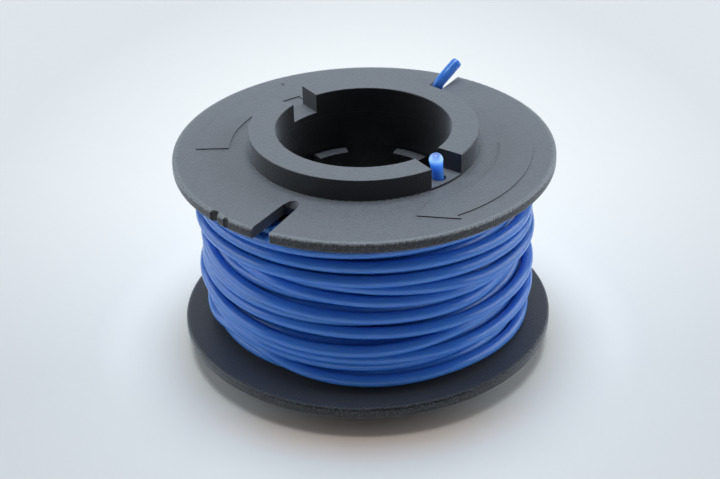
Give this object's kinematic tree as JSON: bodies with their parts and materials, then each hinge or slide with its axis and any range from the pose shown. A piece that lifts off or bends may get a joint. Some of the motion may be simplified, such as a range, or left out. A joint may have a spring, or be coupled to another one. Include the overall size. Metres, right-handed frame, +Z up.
{
  "type": "grass trimmer line spool",
  "caption": "Flanged replacement spool wound with round trimmer line, with slotted upper flange, split collar, ribbed bore and winding arrows.",
  "frame": {"origin": "centre of the bottom face of the lower collar, on the spool's axis", "axes": "+Z up along the spool's axis towards the slotted flange; +X to the right of the viewer who has one collar gap at the front right"},
  "size_m": [0.054, 0.054, 0.0348],
  "materials": {
    "spool_body": "fine spark-eroded black moulded plastic",
    "line": "clear blue extruded nylon monofilament"
  },
  "bodies": {
    "root": {"drum": "spool_body", "upper_flange": "spool_body", "lower_flange": "spool_body", "line_inner_layers": "line", "line_outer_turns": "line", "line_free_end": "line", "line_anchor_end": "line"}
  },
  "joints": []
}
